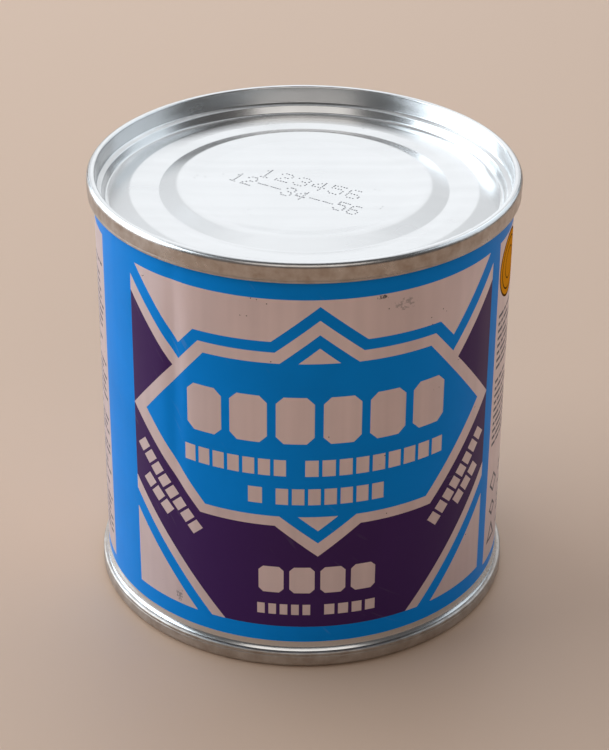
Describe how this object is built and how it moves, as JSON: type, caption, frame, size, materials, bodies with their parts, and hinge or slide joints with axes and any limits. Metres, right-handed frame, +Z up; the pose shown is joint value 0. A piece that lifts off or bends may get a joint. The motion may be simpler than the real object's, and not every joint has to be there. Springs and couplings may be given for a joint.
{
  "type": "food can",
  "caption": "Shut round tinplate food can with a printed wall and a ringed, double-seamed stamped end at the top and bottom.",
  "frame": {"origin": "centre of the circle the can stands on, at the lowest point of the bottom seam", "axes": "+Z up along the can's axis, -Y towards the middle of the front print"},
  "size_m": [0.076, 0.076, 0.08],
  "materials": {
    "printed_wall": "gloss blue and violet ink over bare tinplate",
    "tinplate": "bright tinplate"
  },
  "bodies": {
    "root": {"can_body": "printed_wall", "top_end": "tinplate", "bottom_end": "tinplate"}
  },
  "joints": []
}
